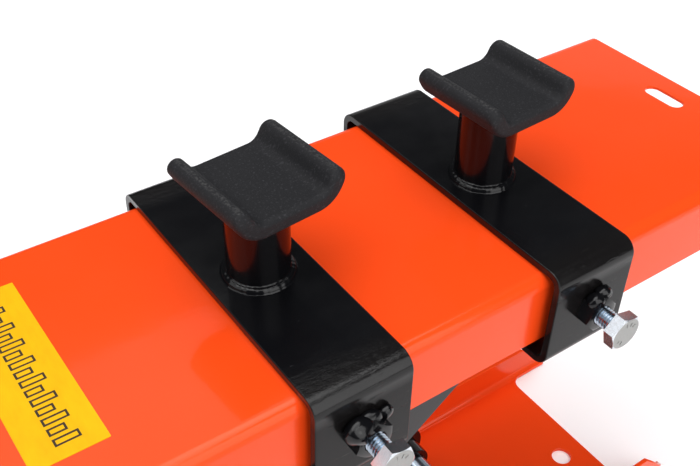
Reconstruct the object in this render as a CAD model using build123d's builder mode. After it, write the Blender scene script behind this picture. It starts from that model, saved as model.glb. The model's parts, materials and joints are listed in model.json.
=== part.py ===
from build123d import *
import os
from math import asin, cos, degrees, radians, sin

# Centre scissor lift for a motorcycle: a sheet steel base channel, two crossed pairs of flat
# arms, and a deck channel with two saddles that slide along it and clamp with a bolt each.
# Millimetres. X runs along the deck, Z is up, and the origin is the middle of the base's underside.

os.makedirs("parts", exist_ok=True)

# ---- Driving dimensions -------------------------------------------------------------------
length = 648.0              # deck and base, end to end
lift_height = 296.0         # deck's top surface above the floor, as drawn

deck_width = 158.0
deck_sheet = 2.0
deck_flange = 41.0
deck_bend = 6.8             # outer radius of the fold
slot_width = 10.0
slot_length = 26.0
slot_from_end = 18.8

base_width = 134.0
base_sheet = 3.0
base_wall = 28.0
base_bend = 8.0
notch_depth = 36.0
notch_width = 122.0
notch_radius = 9.0
floor_hole_radius = 7.0
floor_hole_x = 267.5
floor_hole_y = -17.0

arm_length = 390.0          # pivot to pivot
arm_width = 40.0
arm_sheet = 6.0
pivot_x = 155.0             # fixed pivots, one above the other
base_pivot_z = 30.0
deck_pivot_drop = 25.0      # below the deck's top surface
inner_arm_y = 42.0          # middle of each bar, from the centre plane
outer_arm_y = 49.0

shaft_radius = 10.0
spacer_radius = 14.0
bush_radius = 12.0
running_gap = 0.05          # radial, wherever something turns or slides on a round
arm_gap = 0.2               # axial, beside anything that turns
base_spacer_end = 24.0      # where the tubes beside the lead screw stop, from the centre plane
lug_y = 56.0
lug_sheet = 5.0
lug_radius = 18.0
lug_foot = 28.8             # half the length of a lug's welded edge
lower_roller_y = 56.1
lower_roller_width = 6.0
upper_roller_y = 50.0
upper_roller_width = 8.0
upper_roller_radius = 22.7
groove_radius = 8.6
clip_radius = 13.0
clip_sheet = 1.2
clip_gap = 0.05             # between a clip and each side of its groove
base_clip_angle = 200.0     # where each pair of clips opens
nut_clip_angle = 20.0
centre_clip_angle = 90.0
upper_clip_angle = 270.0
deck_clip_angle = 45.0
end_past_clip = 1.2         # length of shaft left outside the clip
shaft_chamfer = 0.8
arm_chamfer = 0.6

screw_radius = 8.0
journal_radius = 7.0
tail_radius = 5.0
screw_hex = 19.0            # across flats
block_size = 34.0           # square block that the screw passes through
block_width = 32.0
block_round = 1.5
bracket_x = -278.0
bracket_sheet = 12.0
bracket_foot = 26.0         # half the width of the bracket's welded edge
bracket_radius = 20.0
bearing_width = 11.0
bearing_radius = 15.0
bearing_groove = 1.0        # depth of the groove between its two washers
bearing_groove_width = 5.5
collar_width = 6.0
collar_radius = 13.0
hex_end_length = 24.0
head_gap = 10.0             # bare journal between the bracket and the hexagon
screw_end_gap = 1.0         # between the thread's end and the fixed shaft
tail_past_shaft = 3.5

saddle_length = 50.0        # along the deck
saddle_sheet = 4.0
saddle_half_width = 87.0
saddle_bend = 8.2
saddle_lift = 0.3           # clearance over the deck
saddle_bottom = 54.0        # underside of the lips, below the deck's top surface
lip_inner_y = 66.0
saddle_a_x = 24.0
saddle_b_x = 159.0
clamp_z = 271.7
nut_across_flats = 17.0
nut_turn = 30.0             # degrees, puts a flat of the nut and of the bolt's head on top
nut_height = 8.0
bolt_radius = 5.0
bolt_length = 25.0
bolt_head = 6.4
bolt_chamfer = 1.0

post_radius = 15.0
post_bore = 12.0
post_y = -3.0
post_weld_leg = 3.6         # fillet weld round the foot of the post
cradle_z = 347.5            # mid thickness of the cradle's trough
cradle_y = -4.8
cradle_length = 53.0
cradle_flat = 13.5          # half of the flat in the middle
cradle_bend = 10.4          # at mid thickness
cradle_turn_up = 61.5
cradle_lip = 3.6
pad_sheet = 8.5
pad_round = 3.0
plate_sheet = 3.0
plate_margin = 4.0          # rubber over each end of the steel
cradle_a_angle = 5.0
cradle_b_angle = 3.0

label_x = -87.0
label_y = 2.5
label_width = 32.0
label_length = 106.0
label_film = 0.15
label_corner = 2.0

snap = 0.1                  # tolerance for picking edges by their place
overcut = 1.0               # how far a cut runs on past the sheet

# ---- Worked out from them -----------------------------------------------------------------
deck_pivot_z = lift_height - deck_pivot_drop
arm_angle = degrees(asin((deck_pivot_z - base_pivot_z) / arm_length))
sliding_x = pivot_x - arm_length * cos(radians(arm_angle))
centre_x = (pivot_x + sliding_x) / 2
centre_z = (base_pivot_z + deck_pivot_z) / 2
lower_roller_radius = base_pivot_z - base_sheet - running_gap
running_radius = shaft_radius + running_gap
saddle_top = lift_height + saddle_lift + saddle_sheet
bolt_tip_y = deck_width / 2 + running_gap


def across(y):
    """Plane facing along Y at the given y, whose sketch axes are X and Z."""
    return Plane.XZ.offset(-y)


def finish(part, name):
    """Name a finished piece and write it out."""
    part.label = name
    export_step(part, f"parts/{name}.step")


def rings(x, z, inner, outer, y_middle, width, sides=(-1, 1)):
    """Equal rings about the line through (x, z), one on each of the sides asked for."""
    with BuildPart() as pair:
        for side in sides:
            with BuildSketch(across(side * y_middle)):
                with Locations((x, z)):
                    Circle(outer)
                    Circle(inner, mode=Mode.SUBTRACT)
            extrude(amount=width / 2, both=True)
    return pair.part


def clips(x, z, groove_y, opening_angle):
    """Retaining rings that snap into the grooves at both ends of a shaft."""
    with BuildPart() as pair:
        for side in (-1, 1):
            with BuildSketch(across(side * groove_y)):
                with Locations((x, z)):
                    Circle(clip_radius)
                    Circle(groove_radius, mode=Mode.SUBTRACT)
                with Locations(Location((x, z), opening_angle)):
                    Rectangle(2 * clip_radius, groove_radius, align=(Align.MIN, Align.CENTER),
                              mode=Mode.SUBTRACT)
            extrude(amount=clip_sheet / 2, both=True)
    return pair.part


def shaft(x, z, groove_y):
    """Round bar across the lift, with a clip groove near each end."""
    with BuildPart() as bar:
        with BuildSketch(across(0)):
            with Locations((x, z)):
                Circle(shaft_radius)
        extrude(amount=groove_y + clip_sheet / 2 + end_past_clip, both=True)
        for side in (-1, 1):
            with BuildSketch(across(side * groove_y)):
                with Locations((x, z)):
                    Circle(shaft_radius)
                    Circle(groove_radius, mode=Mode.SUBTRACT)
            extrude(amount=clip_sheet / 2 + clip_gap, both=True, mode=Mode.SUBTRACT)
        chamfer(bar.edges().filter_by(GeomType.CIRCLE).group_by(Axis.Y)[0], length=shaft_chamfer)
        chamfer(bar.edges().filter_by(GeomType.CIRCLE).group_by(Axis.Y)[-1], length=shaft_chamfer)
    return bar.part


def screw_block(x, groove_y, bore):
    """Square block on two stub shafts, bored along X for the lead screw."""
    with BuildPart() as block:
        with BuildSketch(across(0)):
            with Locations((x, base_pivot_z)):
                Rectangle(block_size, block_size)
        extrude(amount=block_width / 2, both=True)
        fillet(block.edges(), radius=block_round)
        with BuildSketch(across(0)):
            with Locations((x, base_pivot_z)):
                Circle(shaft_radius)
        extrude(amount=groove_y + clip_sheet / 2 + end_past_clip, both=True)
        for side in (-1, 1):
            with BuildSketch(across(side * groove_y)):
                with Locations((x, base_pivot_z)):
                    Circle(shaft_radius)
                    Circle(groove_radius, mode=Mode.SUBTRACT)
            extrude(amount=clip_sheet / 2 + clip_gap, both=True, mode=Mode.SUBTRACT)
        with BuildSketch(Plane.YZ.offset(x)):
            with Locations((0, base_pivot_z)):
                Circle(bore)
        extrude(amount=block_size / 2, both=True, mode=Mode.SUBTRACT)
    return block.part


def arm(y, tilt, bores):
    """Flat bar with round ends. Each bore is (distance along the bar from its middle, radius)."""
    with BuildPart() as bar:
        with BuildSketch(across(y)):
            with Locations((centre_x, centre_z)):
                SlotCenterToCenter(arm_length, arm_width, rotation=tilt)
            for along, radius in bores:
                x = centre_x + along * cos(radians(tilt))
                z = centre_z + along * sin(radians(tilt))
                with Locations((x, z)):
                    Circle(radius, mode=Mode.SUBTRACT)
        extrude(amount=arm_sheet / 2, both=True)
        outline = bar.edges().filter_by(GeomType.LINE).filter_by(Axis.Y, reverse=True)
        chamfer(outline, length=arm_chamfer)
    return bar.part


# ---- Base -----------------------------------------------------------------------------------
# A folded channel, open upwards. Both ends are notched between the walls, and the walls are cut
# back at 45 degrees there.
with BuildPart() as base_channel:
    with BuildSketch(Plane.YZ):
        Rectangle(base_width, base_wall, align=(Align.CENTER, Align.MIN))
        with Locations((0, base_sheet)):
            Rectangle(base_width - 2 * base_sheet, base_wall, align=(Align.CENTER, Align.MIN),
                      mode=Mode.SUBTRACT)
    extrude(amount=length / 2, both=True)
    folds = base_channel.edges().filter_by(Axis.X)
    outer_folds = folds.filter_by_position(Axis.Z, -snap, snap)
    fillet(outer_folds, radius=base_bend)
    inner_folds = base_channel.edges().filter_by(Axis.X).filter_by_position(
        Axis.Z, base_sheet - snap, base_sheet + snap)
    inner_folds = inner_folds.filter_by_position(
        Axis.Y, -base_width / 2 + base_sheet - snap, base_width / 2 - base_sheet + snap)
    fillet(inner_folds, radius=base_bend - base_sheet)
    for end in (-1, 1):
        with BuildSketch():
            with Locations((end * (length / 2), 0)):
                Rectangle(2 * notch_depth, notch_width)
            fillet(vertices(), radius=notch_radius)
        extrude(amount=base_wall, mode=Mode.SUBTRACT)
        with BuildSketch(across(0)):
            with BuildLine():
                top = base_wall + overcut
                cut = top - base_sheet
                Polyline((end * length / 2, base_sheet), (end * length / 2, top),
                         (end * (length / 2 - cut), top), close=True)
            make_face()
        extrude(amount=base_width, both=True, mode=Mode.SUBTRACT)
    with BuildSketch():
        with Locations((floor_hole_x, floor_hole_y)):
            Circle(floor_hole_radius)
    extrude(amount=base_sheet, mode=Mode.SUBTRACT)
finish(base_channel.part, "base_channel")

# Two lugs welded to the base carry the fixed lower pivot.
with BuildPart() as base_pivot_lugs:
    for side in (-1, 1):
        with BuildSketch(across(side * lug_y)):
            with BuildLine():
                Line((pivot_x + lug_radius, base_pivot_z), (pivot_x + lug_foot, base_sheet))
                Line((pivot_x + lug_foot, base_sheet), (pivot_x - lug_foot, base_sheet))
                Line((pivot_x - lug_foot, base_sheet), (pivot_x - lug_radius, base_pivot_z))
                ThreePointArc((pivot_x - lug_radius, base_pivot_z),
                              (pivot_x, base_pivot_z + lug_radius),
                              (pivot_x + lug_radius, base_pivot_z))
            make_face()
            with Locations((pivot_x, base_pivot_z)):
                Circle(shaft_radius, mode=Mode.SUBTRACT)
        extrude(amount=lug_sheet / 2, both=True)
finish(base_pivot_lugs.part, "base_pivot_lugs")

lug_clip_y = lug_y + lug_sheet / 2 + clip_gap + clip_sheet / 2
# The fixed shaft is bored across for the plain tail of the lead screw.
with BuildPart() as base_pivot_shaft:
    add(shaft(pivot_x, base_pivot_z, lug_clip_y))
    with BuildSketch(Plane.YZ.offset(pivot_x)):
        with Locations((0, base_pivot_z)):
            Circle(tail_radius + running_gap)
    extrude(amount=spacer_radius, both=True, mode=Mode.SUBTRACT)
finish(base_pivot_shaft.part, "base_pivot_shaft")
finish(clips(pivot_x, base_pivot_z, lug_clip_y, base_clip_angle), "base_shaft_clips")

# Tubes on the fixed shaft keep the inner arms in place between the lugs.
inner_tube = inner_arm_y - arm_sheet / 2 - arm_gap - base_spacer_end
finish(rings(pivot_x, base_pivot_z, shaft_radius, spacer_radius,
             base_spacer_end + inner_tube / 2, inner_tube), "base_inner_spacers")
outer_tube_start = inner_arm_y + arm_sheet / 2 + arm_gap
outer_tube = lug_y - lug_sheet / 2 - outer_tube_start
finish(rings(pivot_x, base_pivot_z, shaft_radius, spacer_radius,
             outer_tube_start + outer_tube / 2, outer_tube), "base_outer_spacers")

# An upright block near the sliding end carries the lead screw's thrust.
with BuildPart() as thrust_bracket:
    with BuildSketch(Plane.YZ.offset(bracket_x)):
        with BuildLine():
            Line((-bracket_foot, base_sheet), (bracket_foot, base_sheet))
            Line((bracket_foot, base_sheet), (bracket_radius, base_pivot_z))
            ThreePointArc((bracket_radius, base_pivot_z), (0, base_pivot_z + bracket_radius),
                          (-bracket_radius, base_pivot_z))
            Line((-bracket_radius, base_pivot_z), (-bracket_foot, base_sheet))
        make_face()
        with Locations((0, base_pivot_z)):
            Circle(journal_radius + running_gap, mode=Mode.SUBTRACT)
    extrude(amount=bracket_sheet / 2, both=True)
finish(thrust_bracket.part, "thrust_bracket")

bearing_start = bracket_x + bracket_sheet / 2
with BuildPart() as thrust_bearing:
    with BuildSketch(Plane.YZ.offset(bearing_start)):
        with Locations((0, base_pivot_z)):
            Circle(bearing_radius)
            Circle(journal_radius + running_gap, mode=Mode.SUBTRACT)
    extrude(amount=bearing_width)
    with BuildSketch(Plane.YZ.offset(bearing_start + bearing_width / 2)):
        with Locations((0, base_pivot_z)):
            Circle(bearing_radius)
            Circle(bearing_radius - bearing_groove, mode=Mode.SUBTRACT)
    extrude(amount=bearing_groove_width / 2, both=True, mode=Mode.SUBTRACT)
finish(thrust_bearing.part, "thrust_bearing")

# ---- Lead screw -----------------------------------------------------------------------------
collar_start = bearing_start + bearing_width + running_gap
thread_start = collar_start + collar_width
tail_start = pivot_x - shaft_radius - screw_end_gap
tail_end = pivot_x + shaft_radius + tail_past_shaft
hex_start = bracket_x - bracket_sheet / 2 - head_gap - hex_end_length
with BuildPart() as lead_screw:
    with BuildSketch(Plane.YZ.offset(hex_start)):
        with Locations((0, base_pivot_z)):
            RegularPolygon(screw_hex / 2, 6, major_radius=False)
    extrude(amount=hex_end_length)
    for start, end, radius in ((hex_start + hex_end_length, collar_start, journal_radius),
                               (collar_start, thread_start, collar_radius),
                               (thread_start, tail_start, screw_radius),
                               (tail_start, tail_end, tail_radius)):
        with BuildSketch(Plane.YZ.offset(start)):
            with Locations((0, base_pivot_z)):
                Circle(radius)
        extrude(amount=end - start)
finish(lead_screw.part, "lead_screw")

# ---- Sliding block, nut of the lead screw ---------------------------------------------------
lower_clip_y = lower_roller_y + lower_roller_width / 2 + clip_gap + clip_sheet / 2
nut_block = screw_block(sliding_x, lower_clip_y, screw_radius + running_gap)
finish(nut_block, "screw_nut_block")
finish(clips(sliding_x, base_pivot_z, lower_clip_y, nut_clip_angle), "nut_block_clips")
block_edge = block_width / 2
slider_tube = outer_arm_y - arm_sheet / 2 - arm_gap - block_edge
finish(rings(sliding_x, base_pivot_z, shaft_radius, spacer_radius,
             block_edge + slider_tube / 2, slider_tube), "nut_block_spacers")
finish(rings(sliding_x, base_pivot_z, running_radius, lower_roller_radius,
             lower_roller_y, lower_roller_width), "lower_rollers")

# ---- Inner arms: fixed pivot on the base, rollers under the deck ----------------------------
half_arm = arm_length / 2
for side, name in ((-1, "near"), (1, "far")):
    bores = ((-half_arm, shaft_radius), (0, shaft_radius), (half_arm, bush_radius))
    finish(arm(side * inner_arm_y, -arm_angle, bores), f"inner_arm_{name}")
finish(rings(pivot_x, base_pivot_z, running_radius, bush_radius, inner_arm_y, arm_sheet),
       "inner_arm_bushes")

centre_clip_y = outer_arm_y + arm_sheet / 2 + clip_gap + arm_gap + clip_sheet / 2
finish(shaft(centre_x, centre_z, centre_clip_y), "centre_shaft")
finish(clips(centre_x, centre_z, centre_clip_y, centre_clip_angle), "centre_shaft_clips")
centre_tube = 2 * (inner_arm_y - arm_sheet / 2)
finish(rings(centre_x, centre_z, shaft_radius, spacer_radius, 0, centre_tube, sides=(1,)),
       "centre_spacer")

upper_clip_y = upper_roller_y + upper_roller_width / 2 + clip_gap + clip_sheet / 2
finish(shaft(sliding_x, deck_pivot_z, upper_clip_y), "upper_roller_shaft")
finish(clips(sliding_x, deck_pivot_z, upper_clip_y, upper_clip_angle), "upper_roller_clips")
finish(rings(sliding_x, deck_pivot_z, running_radius, upper_roller_radius,
             upper_roller_y, upper_roller_width), "upper_rollers")

# ---- Outer arms: lower end on the sliding block, upper end fixed to the deck ----------------
for side, name in ((-1, "near"), (1, "far")):
    bores = ((-half_arm, bush_radius), (0, bush_radius), (half_arm, bush_radius))
    finish(arm(side * outer_arm_y, arm_angle, bores), f"outer_arm_{name}")
with BuildPart() as outer_arm_bushes:
    for x, z in ((sliding_x, base_pivot_z), (centre_x, centre_z), (pivot_x, deck_pivot_z)):
        for side in (-1, 1):
            with BuildSketch(across(side * outer_arm_y)):
                with Locations((x, z)):
                    Circle(bush_radius)
                    Circle(running_radius, mode=Mode.SUBTRACT)
            extrude(amount=arm_sheet / 2, both=True)
finish(outer_arm_bushes.part, "outer_arm_bushes")

# ---- Deck -----------------------------------------------------------------------------------
deck_underside = lift_height - deck_sheet
with BuildPart() as deck_channel:
    with BuildSketch(Plane.YZ):
        with Locations((0, lift_height)):
            Rectangle(deck_width, deck_flange, align=(Align.CENTER, Align.MAX))
        with Locations((0, deck_underside)):
            Rectangle(deck_width - 2 * deck_sheet, deck_flange, align=(Align.CENTER, Align.MAX),
                      mode=Mode.SUBTRACT)
    extrude(amount=length / 2, both=True)
    outer_folds = deck_channel.edges().filter_by(Axis.X).group_by(Axis.Z)[-1]
    fillet(outer_folds, radius=deck_bend)
    inner_folds = deck_channel.edges().filter_by(Axis.X).filter_by_position(
        Axis.Z, deck_underside - snap, deck_underside + snap)
    fillet(inner_folds, radius=deck_bend - deck_sheet)
    slot_x = length / 2 - slot_from_end
    with BuildSketch(Plane.XY.offset(deck_underside)):
        with Locations((-slot_x, 0), (slot_x, 0)):
            SlotOverall(slot_length, slot_width, rotation=90)
    extrude(amount=deck_sheet, mode=Mode.SUBTRACT)
finish(deck_channel.part, "deck_channel")

with BuildPart() as deck_pivot_lugs:
    for side in (-1, 1):
        with BuildSketch(across(side * lug_y)):
            with BuildLine():
                Line((pivot_x + lug_radius, deck_pivot_z), (pivot_x + lug_foot, deck_underside))
                Line((pivot_x + lug_foot, deck_underside),
                     (pivot_x - lug_foot, deck_underside))
                Line((pivot_x - lug_foot, deck_underside), (pivot_x - lug_radius, deck_pivot_z))
                ThreePointArc((pivot_x - lug_radius, deck_pivot_z),
                              (pivot_x, deck_pivot_z - lug_radius),
                              (pivot_x + lug_radius, deck_pivot_z))
            make_face()
            with Locations((pivot_x, deck_pivot_z)):
                Circle(shaft_radius, mode=Mode.SUBTRACT)
        extrude(amount=lug_sheet / 2, both=True)
finish(deck_pivot_lugs.part, "deck_pivot_lugs")
finish(shaft(pivot_x, deck_pivot_z, lug_clip_y), "deck_pivot_shaft")
finish(clips(pivot_x, deck_pivot_z, lug_clip_y, deck_clip_angle), "deck_shaft_clips")
deck_tube = 2 * (outer_arm_y - arm_sheet / 2 - arm_gap)
finish(rings(pivot_x, deck_pivot_z, shaft_radius, spacer_radius, 0, deck_tube, sides=(1,)),
       "deck_spacer")

with BuildPart() as capacity_label:
    with BuildSketch(Plane.XY.offset(lift_height)):
        with Locations((label_x, label_y)):
            RectangleRounded(label_width, label_length, label_corner)
    extrude(amount=label_film)
finish(capacity_label.part, "capacity_label")


# ---- Saddles --------------------------------------------------------------------------------
def cradle_solid(plane, sheet, long, tip_round):
    """Upturned channel that follows the cradle's mid line, at the given thickness."""
    with BuildPart() as channel:
        with BuildSketch(plane):
            with BuildLine():
                under = Line((0, -sheet / 2), (cradle_flat, -sheet / 2))
                heel = JernArc(under @ 1, under % 1, cradle_bend + sheet / 2, cradle_turn_up)
                back = PolarLine(heel @ 1, cradle_lip, direction=heel % 1)
                tip = JernArc(back @ 1, back % 1, sheet / 2, 180)
                front = PolarLine(tip @ 1, cradle_lip, direction=tip % 1)
                hollow = JernArc(front @ 1, front % 1, cradle_bend - sheet / 2, -cradle_turn_up)
                Line(hollow @ 1, (0, sheet / 2))
                mirror(about=Plane.YZ)
            make_face()
        extrude(amount=long / 2, both=True)
        if tip_round:
            axis = Axis(plane.origin, plane.z_dir)
            ends = channel.edges().group_by(axis)
            fillet(ends[0] + ends[-1], radius=tip_round)
    return channel.part


def saddle(name, x, angle):
    """Every piece of one saddle, at the given place along the deck."""
    # A strip folded round the deck, with lips that turn in under the deck's flanges.
    with BuildPart() as bracket:
        with BuildSketch(Plane.YZ.offset(x)):
            top = saddle_top
            bottom = lift_height - saddle_bottom
            with Locations((0, top)):
                Rectangle(2 * saddle_half_width, top - bottom, align=(Align.CENTER, Align.MAX))
            fillet(vertices(), radius=saddle_bend)
            with BuildSketch(mode=Mode.PRIVATE) as hollow:
                with Locations((0, top - saddle_sheet)):
                    Rectangle(2 * (saddle_half_width - saddle_sheet),
                              top - bottom - 2 * saddle_sheet, align=(Align.CENTER, Align.MAX))
                fillet(vertices(), radius=saddle_bend - saddle_sheet)
            add(hollow.sketch, mode=Mode.SUBTRACT)
            with Locations((0, bottom)):
                Rectangle(2 * lip_inner_y, 2 * (saddle_sheet + overcut), mode=Mode.SUBTRACT)
        extrude(amount=saddle_length / 2, both=True)
        with BuildSketch(across(-saddle_half_width)):
            with Locations((x, clamp_z)):
                Circle(bolt_radius + running_gap)
        extrude(amount=-saddle_sheet, mode=Mode.SUBTRACT)
    finish(bracket.part, f"{name}_bracket")

    with BuildPart() as clamp_nut:
        with BuildSketch(across(-saddle_half_width)):
            with Locations((x, clamp_z)):
                RegularPolygon(nut_across_flats / 2, 6, major_radius=False, rotation=nut_turn)
                Circle(bolt_radius + running_gap, mode=Mode.SUBTRACT)
        extrude(amount=nut_height)
    finish(clamp_nut.part, f"{name}_clamp_nut")

    with BuildPart() as clamp_bolt:
        with BuildSketch(across(-bolt_tip_y)):
            with Locations((x, clamp_z)):
                Circle(bolt_radius)
        extrude(amount=bolt_length)
        chamfer(clamp_bolt.edges().group_by(Axis.Y)[-1], length=bolt_chamfer)
        with BuildSketch(across(-bolt_tip_y - bolt_length)):
            with Locations((x, clamp_z)):
                RegularPolygon(nut_across_flats / 2, 6, major_radius=False, rotation=nut_turn)
        extrude(amount=bolt_head)
    finish(clamp_bolt.part, f"{name}_clamp_bolt")

    # A short tube stands on the strip and carries the cradle.
    post_top = cradle_z - plate_sheet / 2
    with BuildPart() as post:
        with BuildSketch(Plane.XY.offset(saddle_top)):
            with Locations((x, post_y)):
                Circle(post_radius)
                Circle(post_bore, mode=Mode.SUBTRACT)
        extrude(amount=post_top - saddle_top)
    finish(post.part, f"{name}_post")

    with BuildPart() as post_weld:
        with BuildSketch(Plane.XZ.offset(-post_y)):
            with BuildLine():
                Polyline((x + post_radius, saddle_top), (x + post_radius + post_weld_leg, saddle_top),
                         (x + post_radius, saddle_top + post_weld_leg), close=True)
            make_face()
        revolve(axis=Axis((x, post_y, 0), (0, 0, 1)))
    finish(post_weld.part, f"{name}_post_weld")

    # The cradle is a bent steel plate inside a thick moulded rubber pad.
    turned = Plane(origin=(x, cradle_y, cradle_z),
                   x_dir=(cos(radians(angle)), sin(radians(angle)), 0),
                   z_dir=(sin(radians(angle)), -cos(radians(angle)), 0))
    plate = cradle_solid(turned, plate_sheet, cradle_length - 2 * plate_margin, 0)
    rubber = cradle_solid(turned, pad_sheet, cradle_length, pad_round)
    with BuildPart() as cradle_pad:
        add(rubber)
        add(plate, mode=Mode.SUBTRACT)
        with BuildSketch(Plane.XY.offset(cradle_z - pad_sheet)):
            with Locations((x, post_y)):
                Circle(post_radius)
        extrude(amount=pad_sheet - plate_sheet / 2, mode=Mode.SUBTRACT)
    finish(plate, f"{name}_cradle_plate")
    finish(cradle_pad.part, f"{name}_cradle_pad")


saddle("saddle_a", saddle_a_x, cradle_a_angle)
saddle("saddle_b", saddle_b_x, cradle_b_angle)
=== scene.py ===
import json
import math
import bmesh
import bpy
from mathutils import Matrix, Vector, noise


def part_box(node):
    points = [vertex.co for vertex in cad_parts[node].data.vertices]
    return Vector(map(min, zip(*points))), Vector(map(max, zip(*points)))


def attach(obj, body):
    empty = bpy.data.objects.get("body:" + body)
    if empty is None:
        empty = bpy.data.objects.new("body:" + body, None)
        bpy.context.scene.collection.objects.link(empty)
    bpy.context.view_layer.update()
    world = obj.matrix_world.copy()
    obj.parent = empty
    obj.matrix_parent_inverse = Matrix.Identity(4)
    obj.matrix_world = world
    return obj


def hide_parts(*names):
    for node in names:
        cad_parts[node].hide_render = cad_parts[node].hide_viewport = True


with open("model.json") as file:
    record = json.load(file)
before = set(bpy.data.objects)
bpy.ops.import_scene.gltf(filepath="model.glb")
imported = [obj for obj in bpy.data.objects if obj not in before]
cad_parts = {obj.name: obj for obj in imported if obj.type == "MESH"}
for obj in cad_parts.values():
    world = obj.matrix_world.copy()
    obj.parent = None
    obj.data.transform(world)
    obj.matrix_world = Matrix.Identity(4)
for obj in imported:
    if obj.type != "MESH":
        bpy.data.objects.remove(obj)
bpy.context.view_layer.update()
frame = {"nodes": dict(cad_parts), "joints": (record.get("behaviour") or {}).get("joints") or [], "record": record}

MM = 0.001
X_AXIS, Y_AXIS, Z_AXIS = Vector((1, 0, 0)), Vector((0, 1, 0)), Vector((0, 0, 1))
BODY_OF = {node: body for body, nodes in frame["record"]["behaviour"]["bodies"].items() for node in nodes}
SLOT_OF = {part["node"]: part["material_slot"] for part in frame["record"]["subparts"]}
PIVOT = {joint["name"]: Vector(joint["pos_m"]) for joint in frame["joints"] if "pos_m" in joint}
SADDLES = ("saddle_a", "saddle_b")

# The clamp bolts and their nuts, in mm
BOLT_RADIUS = 5.0
THREAD_PITCH = 1.5
THREAD_ROOT = 0.83          # of the bolt's radius
HEX_FLATS = 17.0
HEAD_HEIGHT = 6.4
MARK_LENGTH, MARK_WIDTH, MARK_HEIGHT = 2.0, 0.55, 0.2     # plain raised dashes on the bolt heads
MARK_RING = 5.4
MARK_ANGLES = (35, 65, 95, 215, 245)


# ---- Camera, floor and light ------------------------------------------------------------------
CAMERA_PLACE = (-0.1410, -0.2985, 0.5982)
CAMERA_AZIMUTH = 36.17      # degrees from +Y towards +X
CAMERA_DOWN = 39.32
CAMERA_ROLL = -1.52
CAMERA_LENS = 50.47
SENSOR_WIDTH = 36.0
FLOOR_DROP = -0.0002        # keeps the floor off the underside of the base
FLOOR_SIZE = 14.0
ROOM_COLOUR = (0.9, 0.95, 1.0, 1)
ROOM_STRENGTH = 0.06
SOFTBOXES = {               # place, the point it is aimed at, its side in metres, and its watts
    "softbox_top": ((-0.4, -0.6, 4.6), (0.05, 0, 0.1), 5.0, 200),
    "softbox_back": ((-0.4, 1.0, 3.0), (-0.4, 1.0, 0.0), 3.2, 36),
    "softbox_front": ((0.6, -4.2, 2.3), (0.1, 0, 0.2), 4.4, 150),
    "softbox_right": ((3.4, 3.0, 1.1), (0.1, 0, 0.3), 3.0, 13),
    "softbox_left": ((-3.6, 0.4, 2.6), (0.0, 0, 0.2), 3.4, 50),
}


def make_camera():
    """The camera stands to the left of the clamp side and looks down along the deck."""
    azimuth, down = math.radians(CAMERA_AZIMUTH), math.radians(CAMERA_DOWN)
    forward = Vector((math.sin(azimuth) * math.cos(down), math.cos(azimuth) * math.cos(down),
                      -math.sin(down)))
    right = forward.cross(Z_AXIS).normalized()
    below = forward.cross(right)
    roll = math.radians(CAMERA_ROLL)
    across = right * math.cos(roll) + below * math.sin(roll)
    downward = below * math.cos(roll) - right * math.sin(roll)
    turn = Matrix((across, -downward, -forward)).transposed().to_4x4()
    camera = bpy.data.objects.new("camera", bpy.data.cameras.new("camera"))
    camera.data.lens = CAMERA_LENS
    camera.data.sensor_width = SENSOR_WIDTH
    camera.data.clip_start = 0.01
    camera.data.clip_end = 50.0
    camera.matrix_world = Matrix.Translation(CAMERA_PLACE) @ turn
    bpy.context.scene.collection.objects.link(camera)
    bpy.context.scene.camera = camera


def make_light(name, place, target, size, watts):
    """A square softbox aimed at a point."""
    light = bpy.data.lights.new(name, "AREA")
    light.shape = "SQUARE"
    light.size = size
    light.energy = watts
    holder = bpy.data.objects.new(name, light)
    holder.location = place
    holder.rotation_mode = "QUATERNION"
    holder.rotation_quaternion = (Vector(target) - Vector(place)).to_track_quat("-Z", "Y")
    bpy.context.scene.collection.objects.link(holder)


def make_stage():
    """A plain white floor, lit by softboxes in an otherwise dim room."""
    world = bpy.data.worlds.new("room")
    world.use_nodes = True
    background = world.node_tree.nodes["Background"]
    background.inputs["Color"].default_value = ROOM_COLOUR
    background.inputs["Strength"].default_value = ROOM_STRENGTH
    bpy.context.scene.world = world
    for name, (place, target, size, watts) in SOFTBOXES.items():
        make_light(name, place, target, size, watts)
    bpy.ops.mesh.primitive_plane_add(size=FLOOR_SIZE, location=(0, 0, FLOOR_DROP))
    floor = bpy.context.object
    floor.name = "floor"
    paper = Shader("floor_paper")
    tone = paper.blend(paper.noise(3.0, 2.0), (0.86, 0.86, 0.87), (0.9, 0.9, 0.91))
    paper.feed("Base Color", tone)
    paper.set("Roughness", 0.75)
    paper.set("Emission Color", (1, 1, 1, 1))
    paper.set("Emission Strength", 0.15)
    floor.data.materials.append(paper.material)
    bpy.context.scene.view_settings.view_transform = "Standard"


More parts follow.
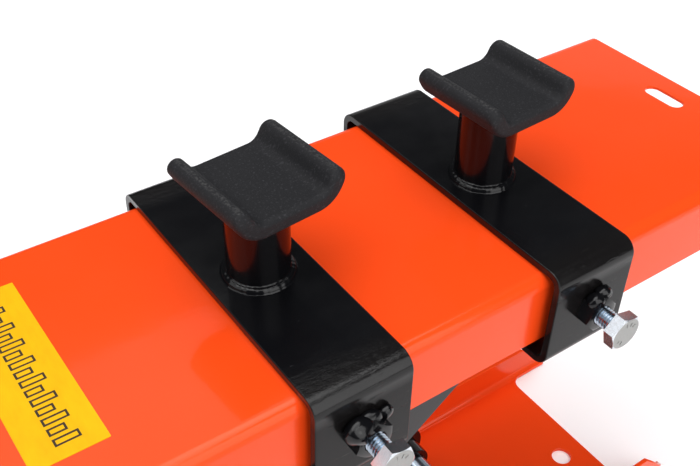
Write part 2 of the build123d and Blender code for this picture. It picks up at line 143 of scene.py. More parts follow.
# ---- Materials --------------------------------------------------------------------------------
class Shader:
    """A node material on one Principled BSDF, with its texture in the piece's own space."""

    def __init__(self, name):
        self.material = bpy.data.materials.new(name)
        self.material.use_nodes = True
        self.tree = self.material.node_tree
        self.surface = self.tree.nodes["Principled BSDF"]
        self.place = self.tree.nodes.new("ShaderNodeTexCoord").outputs["Object"]

    def set(self, name, value):
        self.surface.inputs[name].default_value = value

    def feed(self, name, socket):
        self.tree.links.new(socket, self.surface.inputs[name])

    def node(self, kind, inputs=None, **settings):
        made = self.tree.nodes.new(kind)
        for key, value in settings.items():
            setattr(made, key, value)
        for key, value in (inputs or {}).items():
            if isinstance(value, bpy.types.NodeSocket):
                self.tree.links.new(value, made.inputs[key])
            else:
                made.inputs[key].default_value = value
        return made

    def stretched(self, scale):
        """The piece's own coordinates, scaled per axis."""
        return self.node("ShaderNodeMapping", {"Vector": self.place, "Scale": scale}).outputs[0]

    def noise(self, scale, detail=2.0, rough=0.5, where=None):
        """Cloudy noise from 0 to 1, with this many cycles in a metre."""
        made = self.node("ShaderNodeTexNoise", {"Vector": where or self.place, "Scale": scale,
                                                "Detail": detail, "Roughness": rough})
        return made.outputs["Fac"]

    def span(self, socket, low, high, to_low=0.0, to_high=1.0):
        """The input's low to high, clamped and mapped to to_low to to_high."""
        made = self.node("ShaderNodeMapRange", {"Value": socket, "From Min": low, "From Max": high,
                                                "To Min": to_low, "To Max": to_high})
        return made.outputs["Result"]

    def blend(self, factor, base, over):
        """From the base colour to the other as the factor goes from 0 to 1."""
        made = self.node("ShaderNodeMix", {"Factor": factor}, data_type="RGBA")
        for index, value in ((6, base), (7, over)):
            if isinstance(value, bpy.types.NodeSocket):
                self.tree.links.new(value, made.inputs[index])
            else:
                made.inputs[index].default_value = (*value, 1)
        return made.outputs[2]

    def maths(self, operation, first, second=0.0):
        return self.node("ShaderNodeMath", {0: first, 1: second}, operation=operation).outputs[0]

    def bump(self, height, distance, strength=1.0, after=None):
        """Feeds the surface's normal with a height in metres, over an earlier bump if given."""
        inputs = {"Height": height, "Distance": distance, "Strength": strength}
        if after is not None:
            inputs["Normal"] = after
        made = self.node("ShaderNodeBump", inputs)
        self.feed("Normal", made.outputs["Normal"])
        return made.outputs["Normal"]


FULL_COAT, THIN_COAT = 0.29, 0.04       # clear gloss on faces that look up, and on the others


def powder_coat(name, dark, light, rough, peel):
    """Sprayed and baked paint: a faint orange peel under a clear gloss, and a little dust."""
    paint = Shader(name)
    cloud = paint.noise(9.0, 3.0)
    colour = paint.blend(cloud, dark, light)
    speck = paint.span(paint.noise(1400.0, 1.0), 0.74, 0.8, 0.0, 0.25)
    colour = paint.blend(speck, colour, tuple(min(1.0, 1.5 * value + 0.02) for value in light))
    paint.feed("Base Color", colour)
    smear = paint.span(paint.noise(28.0, 4.0, 0.6), 0.35, 0.7, rough * 0.85, rough * 1.25)
    paint.feed("Roughness", smear)
    paint.set("Specular IOR Level", 0.26)
    paint.set("Specular Tint", (1.0, 0.68, 0.42, 1))
    facing = paint.node("ShaderNodeTexCoord").outputs["Normal"]
    upward = paint.node("ShaderNodeSeparateXYZ", {0: facing}).outputs[2]
    paint.feed("Coat Weight", paint.span(upward, 0.2, 0.8, THIN_COAT, FULL_COAT))
    paint.set("Coat Roughness", 0.04)
    grain = paint.bump(paint.noise(620.0, 2.0), peel)
    paint.feed("Coat Normal", paint.bump(paint.noise(70.0, 2.0), peel * 3, 1.0, grain))
    return paint.material


def scratched_black(name, strip_high):
    """Gloss black paint with fine handling marks, wrinkles where the sheet is folded, and a warm painted
    reflection of the orange deck on the folds.

    strip_high is the high corner of saddle A's strip. The strip beyond it has fewer wrinkles.
    """
    paint = Shader(name)
    parts = paint.node("ShaderNodeSeparateXYZ", {0: paint.place})
    aside = paint.maths("ABSOLUTE", parts.outputs[1])
    height = parts.outputs[2]
    side, top = strip_high.y, strip_high.z
    fold_start = side - 23 * MM
    on_strip = paint.maths("LESS_THAN", aside, side + 0.3 * MM)
    near_fold = paint.maths("MULTIPLY", paint.span(aside, fold_start, side - 9 * MM), on_strip)
    below_fold = paint.maths("MULTIPLY", paint.span(height, top - 9 * MM, top - 14 * MM), near_fold)
    above_bend = paint.span(height, top - 2.2 * MM, top - 0.6 * MM)
    along_bend = paint.maths("MULTIPLY", paint.span(aside, fold_start, side - 14 * MM), above_bend)
    beyond = strip_high.x + 41 * MM
    first_strip = paint.span(parts.outputs[0], beyond, beyond + 10 * MM, 1.0, 0.2)

    marks = paint.span(paint.noise(240.0, 3.0, 0.7, paint.stretched((0.5, 1.0, 3.5))), 0.72, 0.78)
    smears = paint.noise(70.0, 4.0, 0.65, paint.stretched((0.6, 1.0, 1.6)))
    colour = paint.blend(paint.noise(14.0, 2.0), (0.003, 0.003, 0.0038), (0.0042, 0.0042, 0.0051))
    colour = paint.blend(paint.maths("MULTIPLY", marks, 0.45), colour, (0.04, 0.04, 0.045))
    # Warmer, lighter tint on the fold and the strip's side faces: a painted reflection of the orange deck.
    colour = paint.blend(paint.maths("MULTIPLY", near_fold, 0.5), colour, (0.0075, 0.0062, 0.0056))
    paint.feed("Base Color", colour)
    paint.feed("Roughness", paint.span(smears, 0.35, 0.65, 0.15, 0.21))
    paint.feed("Specular IOR Level", paint.span(below_fold, 0.0, 1.0, 0.32, 0.13))

    grain = paint.bump(paint.noise(520.0, 2.0), 0.012 * MM)
    waves = paint.bump(paint.noise(60.0, 2.0), 0.04 * MM, 1.0, grain)
    wrinkles = paint.noise(420.0, 4.0, 0.7, paint.stretched((0.3, 1.0, 1.0)))
    wrinkles = paint.maths("MULTIPLY", wrinkles, paint.maths("MULTIPLY", along_bend, first_strip))
    wrinkled = paint.bump(wrinkles, 0.32 * MM, 1.0, waves)
    scores = paint.noise(330.0, 2.0, 0.5, paint.stretched((0.12, 1.0, 2.2)))
    scores = paint.maths("MULTIPLY", paint.span(scores, 0.66, 0.7), near_fold)
    paint.bump(scores, -0.08 * MM, 0.8, wrinkled)
    return paint.material


def moulded_rubber(name, lip_top):
    """Matt black rubber with a fine grain, paler along the top of the lips: partly rubbed wear, partly a painted
    highlight on the crests.
    """
    rubber = Shader(name)
    parts = rubber.node("ShaderNodeSeparateXYZ", {0: rubber.place})
    grain = rubber.noise(1700.0, 3.0, 0.7)
    fleck = rubber.span(rubber.noise(950.0, 2.0), 0.58, 0.7, 0.0, 0.8)
    colour = rubber.blend(rubber.noise(30.0, 3.0), (0.005, 0.005, 0.0064), (0.0078, 0.0078, 0.0096))
    colour = rubber.blend(fleck, colour, (0.028, 0.028, 0.032))
    # Paler patches along the lips' crests: partly rubbed wear, partly a painted highlight where light catches the
    # crest.
    lip_wear_and_highlight = rubber.span(parts.outputs[2], lip_top - 0.4 * MM, lip_top - 0.1 * MM)
    patchy = rubber.span(rubber.noise(900.0, 3.0, 0.7), 0.45, 0.65, 0.0, 0.6)
    colour = rubber.blend(rubber.maths("MULTIPLY", lip_wear_and_highlight, patchy), colour, (0.07, 0.068, 0.068))
    rubber.feed("Base Color", colour)
    rubber.feed("Roughness", rubber.span(grain, 0.3, 0.7, 0.6, 0.8))
    rubber.set("Specular IOR Level", 0.3)
    pores = rubber.bump(grain, 0.16 * MM, 0.9)
    rubber.bump(rubber.noise(260.0, 2.0), 0.15 * MM, 0.5, pores)
    return rubber.material


def plated(name, dark, light, rough, grain_stretch=(1, 1, 1)):
    """Bare or plated metal: cloudy, finely grained, and duller in patches."""
    metal = Shader(name)
    colour = metal.blend(metal.noise(120.0, 3.0), dark, light)
    metal.feed("Base Color", colour)
    metal.set("Metallic", 1.0)
    brushed = metal.noise(700.0, 3.0, 0.6, metal.stretched(grain_stretch))
    metal.feed("Roughness", metal.span(brushed, 0.3, 0.7, rough * 0.8, rough * 1.3))
    metal.bump(brushed, 0.01 * MM, 0.6)
    return metal.material


def zinc_plate(name, face_y):
    """Bright plating with a faint blue cast, darker on the thread as painted shade for its grooves, and satin on
    the heads' faces.
    """
    metal = Shader(name)
    parts = metal.node("ShaderNodeSeparateXYZ", {0: metal.place})
    on_face = metal.span(parts.outputs[1], face_y + 0.45 * MM, face_y + 0.3 * MM)
    cloud = metal.noise(90.0, 3.0, 0.5)
    bright = metal.blend(cloud, (0.6, 0.63, 0.68), (0.74, 0.77, 0.82))
    head_foot = face_y + HEAD_HEIGHT * MM
    # The thread's colour is darker: painted shade that stands in for the shade in the thread's grooves.
    thread_painted_shade = metal.span(parts.outputs[1], head_foot, head_foot + 0.1 * MM)
    bright = metal.blend(thread_painted_shade, bright, (0.36, 0.42, 0.49))
    metal.feed("Base Color", metal.blend(on_face, bright, (0.36, 0.36, 0.35)))
    metal.set("Metallic", 1.0)
    fine = metal.noise(900.0, 3.0, 0.6)
    side = metal.span(fine, 0.3, 0.7, 0.15, 0.26)
    face = metal.span(fine, 0.3, 0.7, 0.4, 0.52)
    mixed = metal.node("ShaderNodeMix", {0: on_face, 2: side, 3: face}, data_type="FLOAT")
    metal.feed("Roughness", mixed.outputs[0])
    metal.bump(metal.noise(160.0, 3.0), 0.04 * MM, 0.6)
    return metal.material


LABEL_PITCHES, LABEL_MARKS = 18, 16     # the label's length in marks, and how many it carries


def label_film(name, low, high):
    """Yellow film with a row of plain hollow marks, by turns short and tall, on one foot line."""
    film = Shader(name)
    parts = film.node("ShaderNodeSeparateXYZ", {0: film.place})
    across, along = parts.outputs[0], parts.outputs[1]
    middle = (low + high) / 2
    size = high - low
    pitch = size.y / LABEL_PITCHES
    count = film.maths("DIVIDE", film.maths("SUBTRACT", along, low.y), pitch)
    off_mark = film.maths("ABSOLUTE", film.maths("SUBTRACT", film.maths("FRACT", count), 0.5))
    off_mark = film.maths("MULTIPLY", off_mark, pitch)
    even = film.maths("GREATER_THAN", film.maths("FRACT", film.maths("DIVIDE", count, 2.0)), 0.5)
    tall = film.maths("ADD", size.x * 0.12, film.maths("MULTIPLY", even, size.x * 0.05))
    foot = middle.x - size.x * 0.12
    off_row = film.maths("ABSOLUTE", film.maths("SUBTRACT", across, film.maths("ADD", foot, tall)))
    past_side = film.maths("SUBTRACT", off_mark, pitch * 0.35)
    past_end = film.maths("SUBTRACT", off_row, tall)
    edge = film.maths("MAXIMUM", past_side, past_end)
    stroke = pitch * 0.17
    outline = film.maths("MULTIPLY", film.maths("LESS_THAN", edge, 0.0),
                         film.maths("GREATER_THAN", edge, -stroke))
    from_middle = film.maths("ABSOLUTE", film.maths("SUBTRACT", along, middle.y))
    inside = film.maths("LESS_THAN", from_middle, pitch * LABEL_MARKS / 2)
    ink = film.maths("MULTIPLY", outline, inside)
    fibres = film.noise(120.0, 5.0, 0.7, film.stretched((1.0, 0.35, 1.0)))
    yellow = film.blend(fibres, (0.66, 0.32, 0.0008), (0.86, 0.49, 0.002))
    film.feed("Base Color", film.blend(ink, yellow, (0.045, 0.03, 0.02)))
    film.feed("Roughness", film.span(film.noise(160.0, 2.0), 0.3, 0.7, 0.4, 0.55))
    film.set("Specular IOR Level", 0.14)
    film.bump(fibres, 0.04 * MM, 0.5)
    return film.material


def make_materials():
    """One material for each of the record's slots."""
    label_low, label_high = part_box("capacity_label")
    return {
        "orange_paint": powder_coat("orange_powder_coat", (0.82, 0.059, 0.006), (0.88, 0.066, 0.009),
                                    0.2, 0.013 * MM),
        "black_paint": scratched_black("black_powder_coat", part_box("saddle_a_bracket")[1]),
        "zinc": zinc_plate("zinc_plate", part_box("saddle_a_clamp_bolt")[0].y),
        "steel": plated("turned_steel", (0.36, 0.36, 0.36), (0.56, 0.56, 0.55), 0.27, (1, 14, 1)),
        "dark_clip": plated("phosphated_steel", (0.05, 0.05, 0.055), (0.1, 0.1, 0.105), 0.4),
        "bronze": plated("sintered_bronze", (0.42, 0.25, 0.1), (0.6, 0.38, 0.17), 0.4),
        "rubber_black": moulded_rubber("moulded_rubber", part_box("saddle_a_cradle_pad")[1].z),
        "label_film": label_film("yellow_film", label_low, label_high),
    }


# ---- Mesh helpers -----------------------------------------------------------------------------
SHARP_EDGE = 50             # degrees: rounder edges are the CAD piece's own bends and chamfers
HEX_CHAMFER = 28            # degrees: slope of the turned corners of hexagons


def piece(name, mesh, stands_for, sharp=35.0):
    """A finished piece that rides with the CAD node it stands for and takes its slot."""
    for face in mesh.polygons:
        face.use_smooth = True
    if sharp:
        mesh.set_sharp_from_angle(angle=math.radians(sharp))
    made = bpy.data.objects.new(name, mesh)
    bpy.context.scene.collection.objects.link(made)
    slot = SLOT_OF[stands_for]
    mesh.materials.clear()
    mesh.materials.append(MATERIALS[slot])
    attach(made, BODY_OF[stands_for])
    return made


def to_mesh(name, shape, turn_outwards=True):
    """Turns a bmesh into mesh data, with its faces turned outwards if they may not be."""
    if turn_outwards:
        bmesh.ops.recalc_face_normals(shape, faces=shape.faces)
    mesh = bpy.data.meshes.new(name)
    shape.to_mesh(mesh)
    shape.free()
    return mesh


def soften(node, width, merge):
    """Replaces a CAD piece by a copy with rounded edges, as a real pressed or sawn part has.

    Facets that meet at less than the merge angle, in degrees, are first joined.
    """
    source = frame["nodes"][node]
    shape = bmesh.new()
    shape.from_mesh(source.data)
    bmesh.ops.remove_doubles(shape, verts=shape.verts, dist=0.002 * MM)
    bmesh.ops.dissolve_limit(shape, angle_limit=math.radians(merge), verts=shape.verts,
                             edges=shape.edges)
    mesh = to_mesh(node + "_rough", shape, turn_outwards=False)
    for face in mesh.polygons:
        face.use_smooth = True
    holder = bpy.data.objects.new(node + "_rough", mesh)
    bpy.context.scene.collection.objects.link(holder)
    bevel = holder.modifiers.new("round", "BEVEL")
    bevel.width = width
    bevel.segments = 2
    bevel.limit_method = "ANGLE"
    bevel.angle_limit = math.radians(SHARP_EDGE)
    bevel.use_clamp_overlap = False
    bevel.miter_outer = "MITER_ARC"
    normals = holder.modifiers.new("normals", "WEIGHTED_NORMAL")
    normals.weight = 100
    normals.keep_sharp = True
    bpy.context.view_layer.update()
    graph = bpy.context.evaluated_depsgraph_get()
    rounded = bpy.data.meshes.new_from_object(holder.evaluated_get(graph))
    bpy.data.objects.remove(holder)
    made = piece(node + "_formed", rounded, node, sharp=None)
    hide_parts(node)


def frame_about(axis):
    """Two directions square to an axis."""
    side = X_AXIS if abs(axis.x) < 0.9 else Y_AXIS
    first = (side - axis * side.dot(axis)).normalized()
    return first, axis.cross(first)


def join_rings(shape, one, two):
    """Adds the wall between two closed rings of points."""
    for index in range(len(one)):
        nxt = (index + 1) % len(one)
        shape.faces.new((one[index], one[nxt], two[nxt], two[index]))


def add_turned(shape, start, axis, profile, steps=72, closed=False):
    """Adds a turned solid. The profile's points are (distance along the axis, radius)."""
    first, second = frame_about(axis)
    rings = []
    for along, radius in profile:
        if radius < 1e-9:
            rings.append([shape.verts.new(start + axis * along)])
            continue
        ring = []
        for index in range(steps):
            angle = 2 * math.pi * index / steps
            ring.append(shape.verts.new(start + axis * along + radius * (
                first * math.cos(angle) + second * math.sin(angle))))
        rings.append(ring)
    pairs = list(zip(rings, rings[1:])) + ([(rings[-1], rings[0])] if closed else [])
    for one, two in pairs:
        if len(one) == len(two):
            join_rings(shape, one, two)
            continue
        point, ring = (one[0], two) if len(one) == 1 else (two[0], one)
        for index in range(steps):
            shape.faces.new((point, ring[index], ring[(index + 1) % steps]))


def add_hexagon(shape, start, axis, flats, height, turn, bore=0.0, chamfer_both=False, steps=96):
    """Adds a hexagon head or nut, with its corners turned off."""
    first, second = frame_about(axis)
    apothem = flats / 2
    crown = apothem * 0.955
    slope = math.tan(math.radians(HEX_CHAMFER))
    rows = []
    for index in range(steps):
        angle = 2 * math.pi * index / steps
        local = (angle % (math.pi / 3)) - math.pi / 6
        reach = apothem / math.cos(local)
        out = first * math.cos(angle + turn) + second * math.sin(angle + turn)
        drop = (reach - crown) * slope
        foot = drop if chamfer_both else 0.0
        column = []
        if bore:
            column.append((bore, 0.0))
        if chamfer_both:
            column.append((crown, 0.0))
        column += [(reach, foot), (reach, height - drop), (crown, height)]
        if bore:
            column += [(bore * 1.12, height), (bore, height - bore * 0.12)]
        rows.append([shape.verts.new(start + axis * along + out * radius) for radius, along in column])
    last = len(rows[0]) if bore else len(rows[0]) - 1
    for index in range(steps):
        one, two = rows[index], rows[(index + 1) % steps]
        for step in range(last):
            nxt = (step + 1) % len(one)
            shape.faces.new((one[step], two[step], two[nxt], one[nxt]))
    if not bore:
        shape.faces.new([row[-1] for row in rows])
        shape.faces.new([row[0] for row in reversed(rows)])


def add_thread(shape, start, axis, length, crest, root, pitch, flat, steps=48):
    """Adds a rod with a helical thread, cut square at both ends.

    The flat is the share of the pitch that lies at the root, and again at the crest.
    """
    rod = bmesh.new()
    first, second = frame_about(axis)
    ramp = (1 - 2 * flat) / 2
    profile = ((0.0, root), (flat, root), (flat + ramp, crest), (2 * flat + ramp, crest))
    turns = int(length / pitch) + 3
    rows = []
    for turn_index in range(turns):
        for share, radius in profile:
            row = []
            for index in range(steps + 1):
                angle = 2 * math.pi * index / steps
                along = (turn_index - 1.5 + share + index / steps) * pitch
                out = first * math.cos(angle) + second * math.sin(angle)
                row.append(rod.verts.new(start + axis * along + out * radius))
            rows.append(row)
    for one, two in zip(rows, rows[1:]):
        for index in range(steps):
            rod.faces.new((one[index], one[index + 1], two[index + 1], two[index]))
    bmesh.ops.remove_doubles(rod, verts=rod.verts, dist=0.001 * MM)
    for place, outward in ((start, -axis), (start + axis * length, axis)):
        bmesh.ops.bisect_plane(rod, geom=rod.verts[:] + rod.edges[:] + rod.faces[:], dist=1e-7,
                               plane_co=place, plane_no=outward, clear_outer=True)
    rims = [edge for edge in rod.edges if edge.is_boundary]
    bmesh.ops.holes_fill(rod, edges=rims)
    part = bpy.data.meshes.new("thread")
    rod.to_mesh(part)
    rod.free()
    shape.from_mesh(part)
    bpy.data.meshes.remove(part)


# ---- Saddles ----------------------------------------------------------------------------------
CRADLE_TURN = {"saddle_a": 5.0, "saddle_b": 3.0}      # degrees about the post
NUT_TURN = {"saddle_a": 20.0, "saddle_b": 12.0}
HEAD_TURN = {"saddle_a": -13.0, "saddle_b": -15.0}
NUT_WELDS = {               # each lump of weld: middle from the nut's foot, and half sizes, in mm
    "saddle_a": (((-5.6, -4.0, 6.2), (7.2, 5.6, 6.4)), ((9.8, -1.6, 6.6), (3.4, 2.6, 3.2)),
                 ((1.4, -1.8, 8.6), (6.0, 3.4, 3.2))),
    "saddle_b": (((-2.6, -4.0, 8.2), (4.8, 4.2, 3.6)), ((3.6, -2.8, 9.4), (4.6, 3.6, 3.2)),
                 ((9.4, -1.2, 5.0), (2.6, 2.2, 3.0))),
}
CRADLE_Y = -4.8             # the cradle's middle, from the deck's middle line, in mm
CRADLE_HALF_LENGTH = 26.5
CRADLE_FLAT = 13.5          # half width of its flat floor
CRADLE_BEND = 10.4          # radius of its bends
CRADLE_RISE = 61.5          # degrees that its lips are bent up
CRADLE_LIP = 3.6            # straight end of each lip
PAD_HALF = 4.25             # half thickness of the rubber
PAD_EDGE = 2.6              # rounding of the pad's two open ends
PAD_CORNER = 3.6            # rounding of the lips' corners
POST_WALL = 3.0
WELD_RIPPLES = 31
NUT_WELD_GAP = 0.3          # kept between the lumps of weld and the bolt


def cradle_line(along):
    """Point and normal of the cradle's mid line, at a distance from its middle, in mm."""
    side = 1 if along >= 0 else -1
    rest = abs(along)
    arc = CRADLE_BEND * math.radians(CRADLE_RISE)
    if rest <= CRADLE_FLAT:
        x, z, angle = rest, 0.0, 0.0
    elif rest <= CRADLE_FLAT + arc:
        angle = (rest - CRADLE_FLAT) / CRADLE_BEND
        x = CRADLE_FLAT + CRADLE_BEND * math.sin(angle)
        z = CRADLE_BEND * (1 - math.cos(angle))
    else:
        angle = math.radians(CRADLE_RISE)
        over = rest - CRADLE_FLAT - arc
        x = CRADLE_FLAT + CRADLE_BEND * math.sin(angle) + over * math.cos(angle)
        z = CRADLE_BEND * (1 - math.cos(angle)) + over * math.sin(angle)
    return Vector((side * x, z)), Vector((-side * math.sin(angle), math.cos(angle)))


def pad_ring(half, reach, steps=44, tip_steps=10):
    """Outline of the pad's section, for a half thickness and a half length of mid line."""
    ring = []
    for index in range(steps + 1):
        point, normal = cradle_line(-reach + 2 * reach * index / steps)
        ring.append(point - normal * half)
    for side in (1, -1):
        point, normal = cradle_line(side * reach)
        outward = Vector((normal.y, -normal.x)) * side
        for index in range(1, tip_steps):
            angle = math.pi * index / tip_steps
            ring.append(point - normal * half * math.cos(angle) * side + outward * half * math.sin(angle))
        if side == 1:
            for index in range(steps, -1, -1):
                over, up = cradle_line(-reach + 2 * reach * index / steps)
                ring.append(over + up * half)
    return ring


def make_pad(saddle):
    """The rubber cradle: one moulding with soft edges and round corners."""
    node = saddle + "_cradle_pad"
    low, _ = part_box(node)
    post_low, post_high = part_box(saddle + "_post")
    post = (post_low + post_high) / 2
    full_reach = CRADLE_FLAT + CRADLE_BEND * math.radians(CRADLE_RISE) + CRADLE_LIP
    half_length = CRADLE_HALF_LENGTH
    shape = bmesh.new()
    turn = Matrix.Rotation(math.radians(CRADLE_TURN[saddle]), 3, "Z")
    base = Vector((post.x, CRADLE_Y * MM, low.z + PAD_HALF * MM))
    straight = half_length - PAD_CORNER
    stations = [half_length - PAD_CORNER * (1 - math.cos(math.pi / 2 * step / 12)) for step in range(13)]
    stations += [straight - straight * step / 10 for step in range(1, 10)]
    stations = stations + [0.0] + [-value for value in reversed(stations)]
    rings = []
    for station in stations:
        inset = half_length - abs(station)
        edge = max(0.0, PAD_EDGE - inset)
        thinner = PAD_EDGE - math.sqrt(max(0.0, PAD_EDGE ** 2 - edge ** 2))
        corner = max(0.0, PAD_CORNER - inset)
        shorter = PAD_CORNER - math.sqrt(max(0.0, PAD_CORNER ** 2 - corner ** 2))
        ring = []
        for point in pad_ring(PAD_HALF - thinner, full_reach - shorter):
            place = Vector((point.x, station, point.y)) * MM
            ring.append(shape.verts.new(base + turn @ place))
        rings.append(ring)
    for one, two in zip(rings, rings[1:]):
        join_rings(shape, one, two)
    shape.faces.new(rings[0])
    shape.faces.new(list(reversed(rings[-1])))
    made = piece(saddle + "_cradle_rubber", to_mesh("cradle_rubber", shape), node, sharp=50)
    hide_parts(node)


def make_post(saddle):
    """The round tube under the cradle."""
    node = saddle + "_post"
    low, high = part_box(node)
    centre = Vector(((low.x + high.x) / 2, (low.y + high.y) / 2, low.z))
    radius = (high.x - low.x) / 2
    height = high.z - low.z
    bore = radius - POST_WALL * MM
    shape = bmesh.new()
    add_turned(shape, centre, Z_AXIS, [(0, bore), (0, radius), (height, radius), (height, bore)],
               steps=96, closed=True)
    made = piece(saddle + "_post_tube", to_mesh("post_tube", shape), node)
    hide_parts(node)


def make_post_weld(saddle):
    """The rippled bead of weld round the foot of the post."""
    weld = saddle + "_post_weld"
    weld_low, weld_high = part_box(weld)
    low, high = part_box(saddle + "_post")
    centre = Vector(((low.x + high.x) / 2, (low.y + high.y) / 2, low.z))
    foot = Vector((centre.x, centre.y, weld_low.z))
    radius = (high.x - low.x) / 2
    leg = (weld_high.x - weld_low.x) / 2 - radius
    shape = bmesh.new()
    around, section = 220, 12
    rings = []
    for index in range(around):
        angle = 2 * math.pi * index / around
        out = Vector((math.cos(angle), math.sin(angle), 0))
        ripple = math.sin(angle * WELD_RIPPLES + 2.5 * noise.noise(out * 2.3 + centre * 9))
        swell = 0.85 + 0.018 * ripple + 0.09 * noise.noise(out * 2.6 + centre * 40)
        ring = []
        for step in range(section):
            tilt = math.pi / 2 * step / (section - 1)
            reach = leg * swell * (0.86 if 0 < step < section - 1 else 1.0)
            ring.append(shape.verts.new(foot + out * (radius + reach * math.cos(tilt) * 0.98)
                                        + Z_AXIS * reach * math.sin(tilt)))
        ring.append(shape.verts.new(foot + out * radius))
        rings.append(ring)
    for index in range(around):
        join_rings(shape, rings[index], rings[(index + 1) % around])
    made = piece(saddle + "_post_bead", to_mesh("post_bead", shape), weld, sharp=70)
    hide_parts(weld)


def make_nut(saddle):
    """The welded clamp nut, and the lumps of weld that hold it, which stay clear of the bolt."""
    node = saddle + "_clamp_nut"
    low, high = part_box(node)
    centre = (low + high) / 2
    start = Vector((centre.x, high.y, centre.z))
    shape = bmesh.new()
    add_hexagon(shape, start, -Y_AXIS, HEX_FLATS * MM, high.y - low.y,
                math.radians(NUT_TURN[saddle]), bore=(BOLT_RADIUS + 0.05) * MM)
    made = piece(saddle + "_hex_nut", to_mesh("hex_nut", shape), node)
    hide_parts(node)

    clear = (BOLT_RADIUS + NUT_WELD_GAP) * MM
    for index, (place_mm, size_mm) in enumerate(NUT_WELDS[saddle]):
        shape = bmesh.new()
        bmesh.ops.create_icosphere(shape, subdivisions=5, radius=1.0)
        middle = start + Vector(place_mm) * MM
        for vertex in shape.verts:
            lump = 1.0 + 0.14 * noise.noise(vertex.co * 1.1 + start * 55 + Vector((index * 3, 0, 0)))
            place = middle + vertex.co * Vector(size_mm) * lump * MM
            place.y = min(place.y, start.y)
            out = Vector((place.x - start.x, 0, place.z - start.z))
            if out.length < clear:
                place += out.normalized() * (clear - out.length)
            vertex.co = place
        piece(f"{saddle}_nut_weld_{index + 1}", to_mesh("nut_weld", shape), node, sharp=None)


def make_bolt(saddle):
    """The clamp bolt: threaded to its head, which has plain raised dashes on a flat face."""
    node = saddle + "_clamp_bolt"
    low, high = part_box(node)
    centre = (low + high) / 2
    tip = Vector((centre.x, high.y, centre.z))
    shank = high.y - low.y - HEAD_HEIGHT * MM
    point = 1.2 * MM
    shape = bmesh.new()
    add_turned(shape, tip, -Y_AXIS, [
        (0, 0), (0, (BOLT_RADIUS - 1.2) * MM), (point, 0.84 * BOLT_RADIUS * MM), (point + 0.01 * MM, 0)],
        steps=48)
    add_thread(shape, tip - Y_AXIS * point, -Y_AXIS, shank - point, (BOLT_RADIUS - 0.02) * MM,
               THREAD_ROOT * BOLT_RADIUS * MM, THREAD_PITCH * MM, flat=0.12)
    head = tip - Y_AXIS * shank
    add_hexagon(shape, head, -Y_AXIS, HEX_FLATS * MM, (HEAD_HEIGHT - MARK_HEIGHT) * MM,
                math.radians(HEAD_TURN[saddle]))
    for angle in MARK_ANGLES:
        turn = Matrix.Rotation(math.radians(-angle), 4, "Y")
        out = turn @ X_AXIS * MARK_RING * MM
        size = Matrix.Diagonal((MARK_LENGTH * MM, MARK_HEIGHT * MM, MARK_WIDTH * MM, 1))
        middle = head - Y_AXIS * (HEAD_HEIGHT - MARK_HEIGHT / 2) * MM + out
        bmesh.ops.create_cube(shape, size=1.0, matrix=Matrix.Translation(middle) @ turn @ size)
    made = piece(saddle + "_hex_bolt", to_mesh("hex_bolt", shape), node, sharp=25)
    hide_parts(node)


# ---- Drive ------------------------------------------------------------------------------------
# Sizes of the lead screw, in mm: the hexagon, then radii, the collar's width and the pitch
DRIVE_FLATS, JOURNAL, COLLAR, SCREW_CREST, SCREW_ROOT, TAIL = 19.0, 7.0, 13.0, 8.0, 6.2, 5.0
COLLAR_WIDTH, SCREW_PITCH = 6.0, 4.0


def make_screw():
    """The lead screw: hexagon, journal, collar, trapezoidal thread and plain tail."""
    node = "lead_screw"
    low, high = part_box(node)
    axis_z = PIVOT["screw_turn"].z
    bracket_low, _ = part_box("thrust_bracket")
    _, bearing_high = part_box("thrust_bearing")
    shaft_low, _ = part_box("base_pivot_shaft")
    hexagon = bracket_low.x - 10 * MM - low.x
    collar_start = bearing_high.x - low.x
    collar_end = collar_start + COLLAR_WIDTH * MM
    edge = 0.6 * MM
    journal, collar, tail = JOURNAL * MM, COLLAR * MM, TAIL * MM
    start = Vector((low.x, 0, axis_z))
    shape = bmesh.new()
    add_hexagon(shape, start, X_AXIS, DRIVE_FLATS * MM, hexagon, math.radians(30), chamfer_both=True)
    add_turned(shape, start, X_AXIS, [
        (hexagon, 0), (hexagon, journal), (collar_start + 0.05 * MM, journal),
        (collar_start + 0.05 * MM, collar - edge), (collar_start + 0.7 * MM, collar),
        (collar_end - edge, collar), (collar_end, collar - edge), (collar_end, 0)])
    tail_start = shaft_low.x - 1 * MM - low.x
    add_thread(shape, start + X_AXIS * collar_end, X_AXIS, tail_start - collar_end,
               SCREW_CREST * MM, SCREW_ROOT * MM, SCREW_PITCH * MM, flat=0.3, steps=40)
    tail_length = high.x - low.x - tail_start
    add_turned(shape, start + X_AXIS * tail_start, X_AXIS, [
        (0, 0), (0, tail), (tail_length - 0.8 * MM, tail), (tail_length, tail - 0.8 * MM),
        (tail_length, 0)])
    made = piece("lead_screw_threaded", to_mesh("lead_screw", shape), node, sharp=30)
    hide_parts(node)


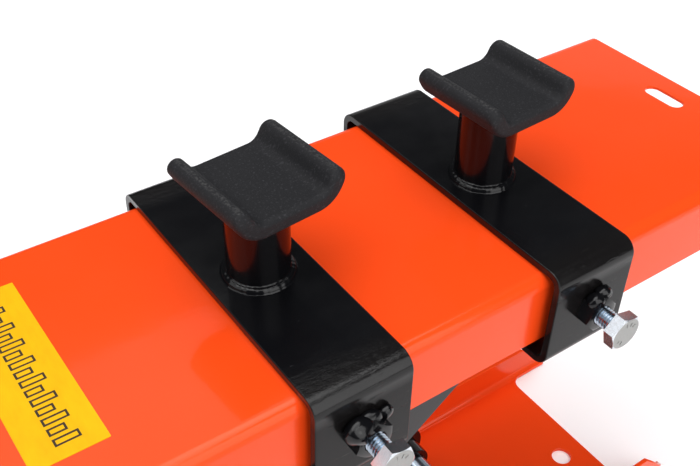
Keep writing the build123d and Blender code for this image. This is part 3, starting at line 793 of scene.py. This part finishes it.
def make_bearing():
    """The thrust bearing: two washers with a ring of balls in a cage between them."""
    node = "thrust_bearing"
    low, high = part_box(node)
    axis_z = PIVOT["screw_turn"].z
    start = Vector((low.x, 0, axis_z))
    width = high.x - low.x
    bore, rim = (JOURNAL + 0.05) * MM, (high.y - low.y) / 2
    washer = width * 0.28
    edge = 0.5 * MM
    shape = bmesh.new()
    for offset in (0, width - washer):
        add_turned(shape, start + X_AXIS * offset, X_AXIS, [
            (0, bore), (0, rim - edge), (edge, rim), (washer - edge, rim), (washer, rim - edge),
            (washer, bore)], closed=True)
    cage = width * 0.16
    inset = 1.2 * MM
    add_turned(shape, start + X_AXIS * (width - cage) / 2, X_AXIS, [
        (0, bore + inset), (0, rim - inset), (cage, rim - inset), (cage, bore + inset)], closed=True)
    balls, ball_radius = 12, width * 0.21
    for index in range(balls):
        angle = 2 * math.pi * index / balls
        out = Y_AXIS * math.cos(angle) + Z_AXIS * math.sin(angle)
        middle = start + X_AXIS * width / 2 + out * (bore + rim) / 2
        bmesh.ops.create_uvsphere(shape, u_segments=20, v_segments=12, radius=ball_radius,
                                  matrix=Matrix.Translation(middle))
    made = piece("thrust_bearing_races", to_mesh("bearing", shape), node)
    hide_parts(node)


def make_rollers(node, axis_place):
    """A pair of turned rollers with rounded rims and a shallow recess in each outer face."""
    low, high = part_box(node)
    radius = (high.z - low.z) / 2
    bore = 10.05 * MM
    shape = bmesh.new()
    offsets = [abs(vertex.co.y) for vertex in frame["nodes"][node].data.vertices]
    inner = min(offsets)
    width = max(offsets) - inner
    edge, dish, rim, hub = 0.9 * MM, 0.8 * MM, 5 * MM, 3 * MM
    for side in (-1, 1):
        start = Vector((axis_place.x, side * inner, axis_place.z))
        add_turned(shape, start, Y_AXIS * side, [
            (0, bore), (0, radius - edge), (edge * 0.3, radius - edge * 0.3), (edge, radius),
            (width - edge, radius), (width - edge * 0.3, radius - edge * 0.3), (width, radius - edge),
            (width, radius - rim), (width - dish, radius - rim - dish),
            (width - dish, bore + hub + dish), (width, bore + hub), (width, bore)], steps=96, closed=True)
    made = piece(node + "_turned", to_mesh(node, shape), node, sharp=30)
    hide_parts(node)


# ---- The label --------------------------------------------------------------------------------
def make_label():
    """A thin film with round corners."""
    node = "capacity_label"
    low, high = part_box(node)
    middle = (low + high) / 2
    half = (high - low) / 2
    corner = 0.5 * MM
    outline = []
    for sign_x, sign_y, begin in ((1, 1, 0), (-1, 1, 90), (-1, -1, 180), (1, -1, 270)):
        corner_middle = Vector((sign_x * (half.x - corner), sign_y * (half.y - corner), 0))
        for step in range(9):
            angle = math.radians(begin + 90 * step / 8)
            outline.append(corner_middle + Vector((math.cos(angle), math.sin(angle), 0)) * corner)
    shape = bmesh.new()
    lower = [shape.verts.new(Vector((middle.x, middle.y, low.z)) + point) for point in outline]
    upper = [shape.verts.new(Vector((middle.x, middle.y, high.z)) + point) for point in outline]
    shape.faces.new(upper)
    shape.faces.new(list(reversed(lower)))
    join_rings(shape, lower, upper)
    made = piece("capacity_label_film", to_mesh("label", shape), node)
    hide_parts(node)


# ---- The whole object -------------------------------------------------------------------------
FORMED = {                  # edge rounding of each pressed, sawn or turned piece, in mm
    "base_channel": 0.5, "deck_channel": 0.45, "base_pivot_lugs": 0.5, "deck_pivot_lugs": 0.5,
    "thrust_bracket": 0.6, "base_pivot_shaft": 0.25, "screw_nut_block": 0.4,
    "inner_arm_near": 0.5, "inner_arm_far": 0.5, "outer_arm_near": 0.5, "outer_arm_far": 0.5,
    "saddle_a_bracket": 0.55, "saddle_b_bracket": 0.55, "base_shaft_clips": 0.2,
    "nut_block_clips": 0.2, "centre_shaft_clips": 0.2, "upper_roller_clips": 0.2,
    "deck_shaft_clips": 0.2, "base_inner_spacers": 0.4, "base_outer_spacers": 0.4,
    "nut_block_spacers": 0.4, "centre_spacer": 0.4, "deck_spacer": 0.4, "inner_arm_bushes": 0.25,
    "outer_arm_bushes": 0.25, "centre_shaft": 0.3, "upper_roller_shaft": 0.3, "deck_pivot_shaft": 0.3,
}
FINE_MERGE = 0.8            # degrees
MERGE = {"base_channel": 5.0}

make_camera()
make_stage()
MATERIALS = make_materials()
for node, thing in frame["nodes"].items():
    thing.data.materials.clear()
    thing.data.materials.append(MATERIALS[SLOT_OF[node]])
for node, rounding in FORMED.items():
    soften(node, rounding * MM, MERGE.get(node, FINE_MERGE))
for saddle_name in SADDLES:
    make_pad(saddle_name)
    make_post(saddle_name)
    make_post_weld(saddle_name)
    make_nut(saddle_name)
    make_bolt(saddle_name)
make_screw()
make_bearing()
make_rollers("lower_rollers", PIVOT["lower_roller_spin"])
make_rollers("upper_rollers", PIVOT["upper_roller_spin"])
make_label()
